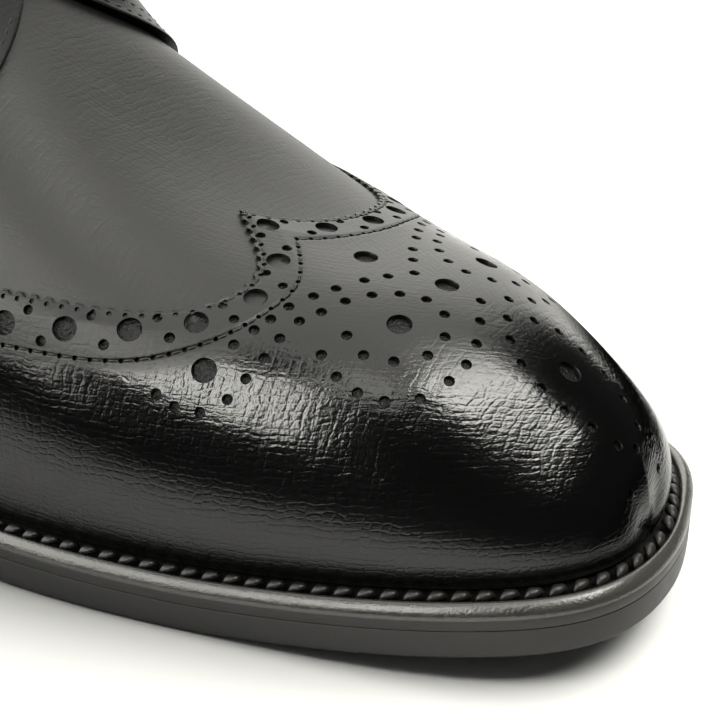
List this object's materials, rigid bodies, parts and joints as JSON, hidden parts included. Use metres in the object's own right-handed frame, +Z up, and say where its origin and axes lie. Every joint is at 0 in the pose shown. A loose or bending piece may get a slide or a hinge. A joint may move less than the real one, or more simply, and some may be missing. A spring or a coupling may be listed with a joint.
{
  "type": "wingtip oxford",
  "caption": "Black wingtip dress shoe for the right foot, open-laced, with a punched wing cap, stitched welt, stacked heel and straight bar lacing.",
  "frame": {"origin": "on the floor under the middle of the shoe's bounding box", "axes": "+X to the toe, +Z up, -Y to the outer (lateral) side of the right foot"},
  "size_m": [0.3045, 0.1066, 0.1188],
  "materials": {
    "upper_leather": "polished hatch grain, black",
    "welt_leather": "dressed black, satin",
    "sole_leather": "black edge dressing, matte",
    "lift_rubber": "matte black",
    "lining_leather": "natural tan, matte",
    "lace_cotton": "waxed cotton, black"
  },
  "bodies": {
    "root": {"outsole": "sole_leather", "welt": "welt_leather", "heel_stack": "sole_leather", "heel_top_lift": "lift_rubber", "insole": "lining_leather", "upper": "upper_leather", "wing_cap": "upper_leather", "quarter_lateral": "upper_leather", "quarter_medial": "upper_leather", "heel_counter": "upper_leather", "tongue": "upper_leather", "lace_bar_1": "lace_cotton", "lace_bar_2": "lace_cotton", "lace_bar_3": "lace_cotton", "lace_bar_4": "lace_cotton"}
  },
  "joints": []
}
